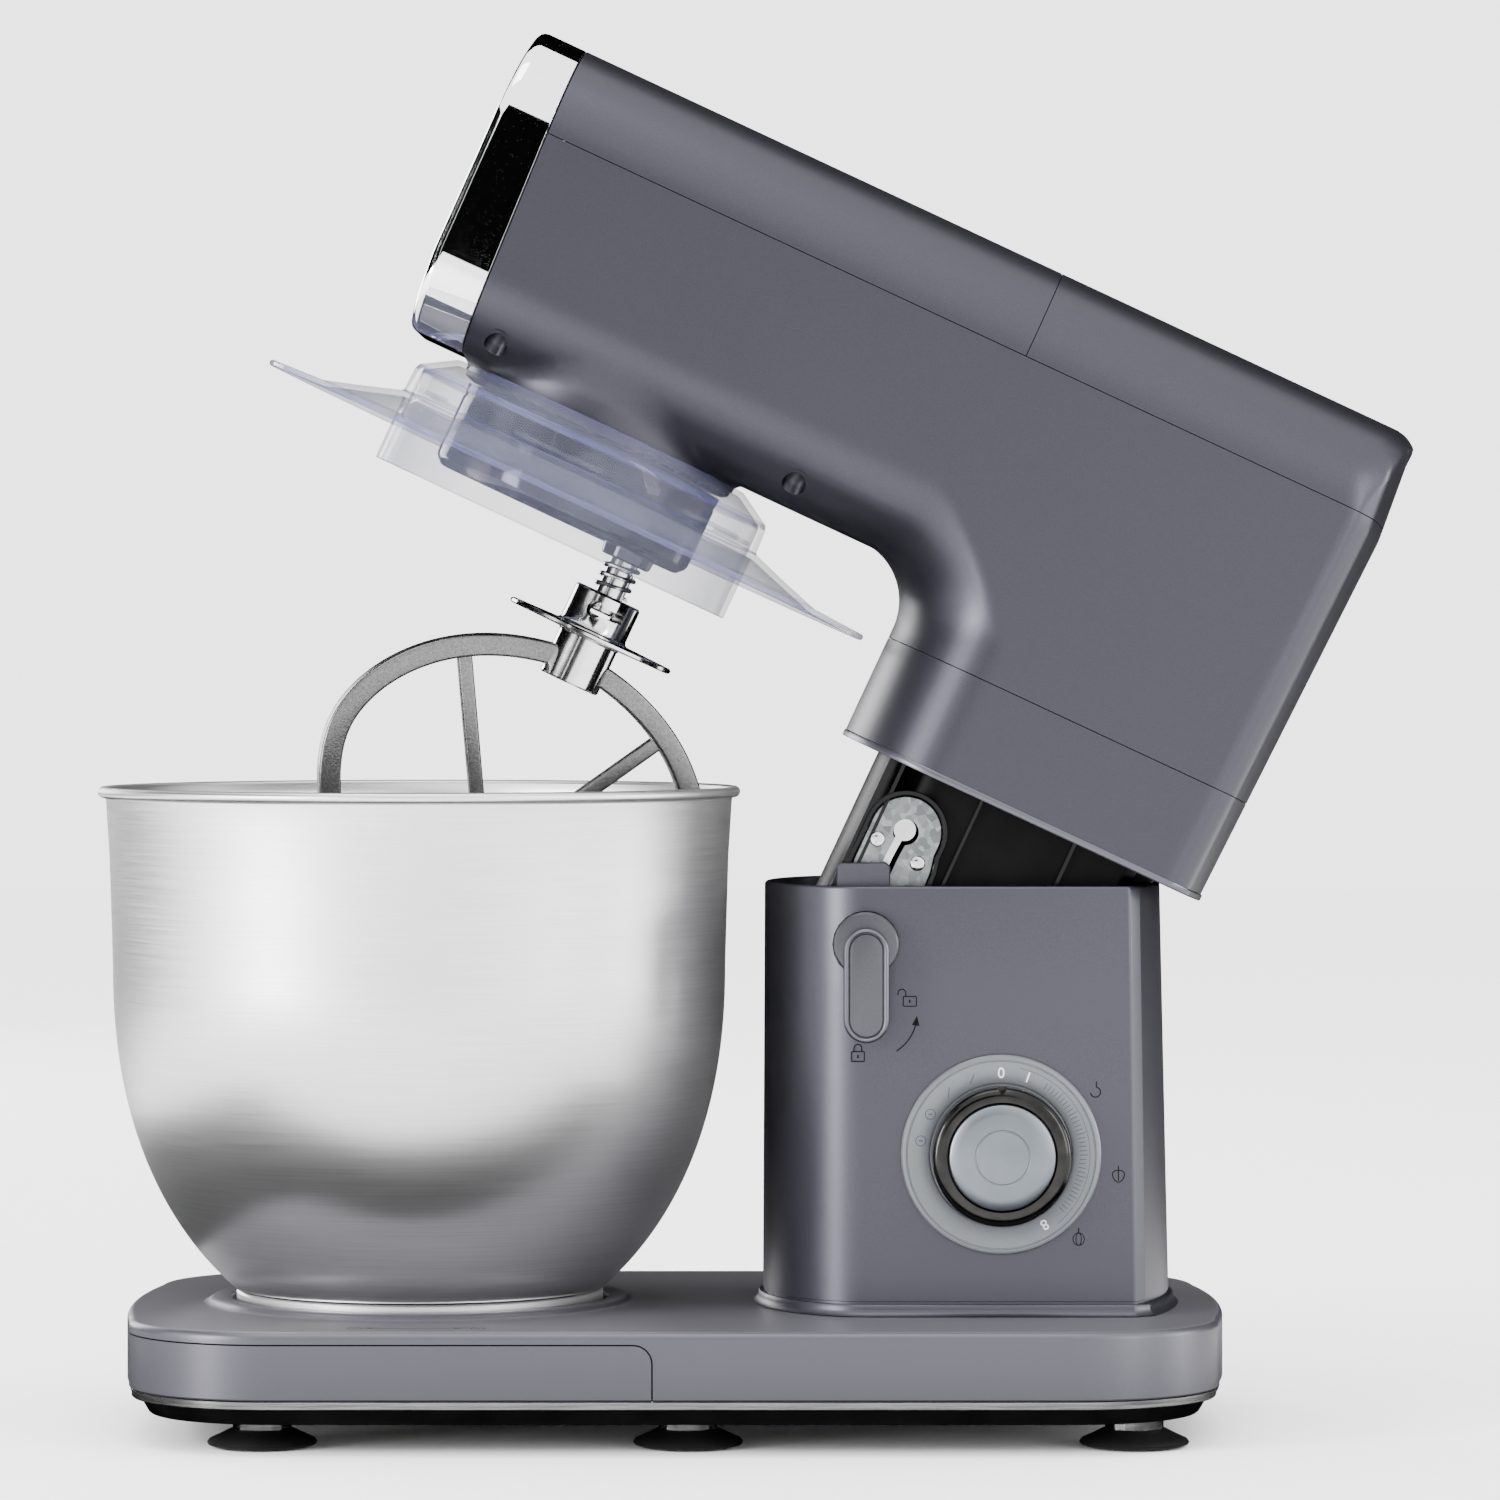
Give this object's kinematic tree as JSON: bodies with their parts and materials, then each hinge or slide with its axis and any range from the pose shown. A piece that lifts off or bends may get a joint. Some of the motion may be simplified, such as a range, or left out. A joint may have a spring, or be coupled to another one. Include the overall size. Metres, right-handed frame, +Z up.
{
  "type": "stand mixer",
  "caption": "Tilt-head stand mixer with a deep steel bowl, clear splash guard, flat beater, lock lever and speed dial on a long base with suction feet.",
  "frame": {"origin": "centre of the bounding box in plan, on the plane that the suction cups stand on", "axes": "+Z up; +X along the base from the bowl to the column; the dial and the lock lever are on the -Y side"},
  "size_m": [0.4498, 0.2252, 0.4766],
  "materials": {
    "body": "satin metallic graphite-violet lacquer on moulded plastic",
    "strip": "satin silver",
    "black_plastic": "satin black",
    "rubber": "matte",
    "steel": "fine horizontal brushing",
    "chrome": "mirror plated",
    "zinc": "zinc plated",
    "cast_aluminium": "fine cast",
    "motor_steel": "laminated steel",
    "copper": "lacquered copper winding",
    "clear_plastic": "clear with a blue tint",
    "nylon": "natural nylon",
    "circuit_board": "laminate"
  },
  "bodies": {
    "stand": {"base_cover": "body", "base_front_panel": "body", "base_trim_strip": "strip", "base_bottom_plate": "black_plastic", "bowl_lock_plate": "black_plastic", "foot_1": "rubber", "foot_2": "rubber", "foot_3": "rubber", "foot_4": "rubber", "foot_5": "rubber", "foot_6": "rubber", "column_shell": "body", "column_top_deck": "black_plastic", "hinge_bracket_near": "zinc", "hinge_bracket_far": "zinc", "hinge_pin": "steel", "lever_bush": "black_plastic", "dial_bezel": "body", "control_board": "circuit_board", "speed_switch": "black_plastic", "cord_gland": "black_plastic"},
    "dial": {"dial_ring": "chrome", "dial_cap": "strip", "dial_shaft": "nylon"},
    "lever": {"lever_arm": "body", "lever_insert": "body", "lock_pin": "zinc"},
    "bowl": {"bowl": "steel", "bowl_foot": "steel"},
    "head": {"head_housing": "body", "top_cover_front": "body", "top_cover_rear": "body", "head_skirt": "body", "skirt_lip": "strip", "front_band": "chrome", "front_panel": "black_plastic", "neck_frame": "black_plastic", "lock_plate": "zinc", "lock_screw_1": "steel", "lock_screw_2": "steel", "housing_screw_1": "steel", "housing_screw_2": "steel", "housing_screw_3": "steel", "housing_screw_4": "steel", "ring_gear": "zinc", "gearbox_plate": "cast_aluminium", "motor_body": "motor_steel", "drive_belt": "rubber", "splash_guard": "clear_plastic"},
    "carrier": {"planetary_hub": "chrome", "main_gear": "nylon"},
    "beater": {"beater_shaft": "steel", "planet_gear": "zinc", "beater_hub": "steel", "beater_frame": "cast_aluminium"},
    "reduction": {"reduction_pulley": "black_plastic", "pinion": "nylon"},
    "motor": {"motor_rotor": "copper", "motor_pulley": "steel", "cooling_fan": "nylon"}
  },
  "joints": [
    {"name": "head_tilt", "type": "hinge", "parent": "stand", "child": "head", "pos_m": [0.13, 0, 0.154], "axis": [0, -1, 0], "range_deg": [0, 25]},
    {"name": "planetary_spin", "type": "hinge", "parent": "head", "child": "carrier", "pos_m": [-0.05057, 0, 0.34412], "axis": [0.4226, 0, 0.9063], "continuous": true},
    {"name": "beater_spin", "type": "hinge", "parent": "carrier", "child": "beater", "pos_m": [-0.0261, 0, 0.33271], "axis": [0.4226, 0, 0.9063], "continuous": true},
    {"name": "reduction_spin", "type": "hinge", "parent": "head", "child": "reduction", "pos_m": [-0.00435, 0, 0.32257], "axis": [0.4226, 0, 0.9063], "continuous": true},
    {"name": "motor_spin", "type": "hinge", "parent": "head", "child": "motor", "pos_m": [0.12526, 0, 0.26214], "axis": [0.4226, 0, 0.9063], "continuous": true},
    {"name": "speed_dial", "type": "hinge", "parent": "stand", "child": "dial", "pos_m": [0.0845, -0.064, 0.0956], "axis": [0, 1, 0], "range_deg": [-75, 147]},
    {"name": "lock_lever", "type": "hinge", "parent": "stand", "child": "lever", "pos_m": [0.039, -0.062, 0.1665], "axis": [0, -1, 0], "range_deg": [0, 45], "stiffness_Nm_per_rad": 0.08},
    {"name": "bowl_twist", "type": "hinge", "parent": "stand", "child": "bowl", "pos_m": [-0.114, 0, 0.046], "axis": [0, 0, 1], "range_deg": [0, 25]}
  ],
  "couplings": [
    {"joint": "beater_spin", "follows": "planetary_spin", "ratio": -4},
    {"joint": "reduction_spin", "follows": "planetary_spin", "ratio": -4.6667},
    {"joint": "motor_spin", "follows": "planetary_spin", "ratio": -14}
  ]
}
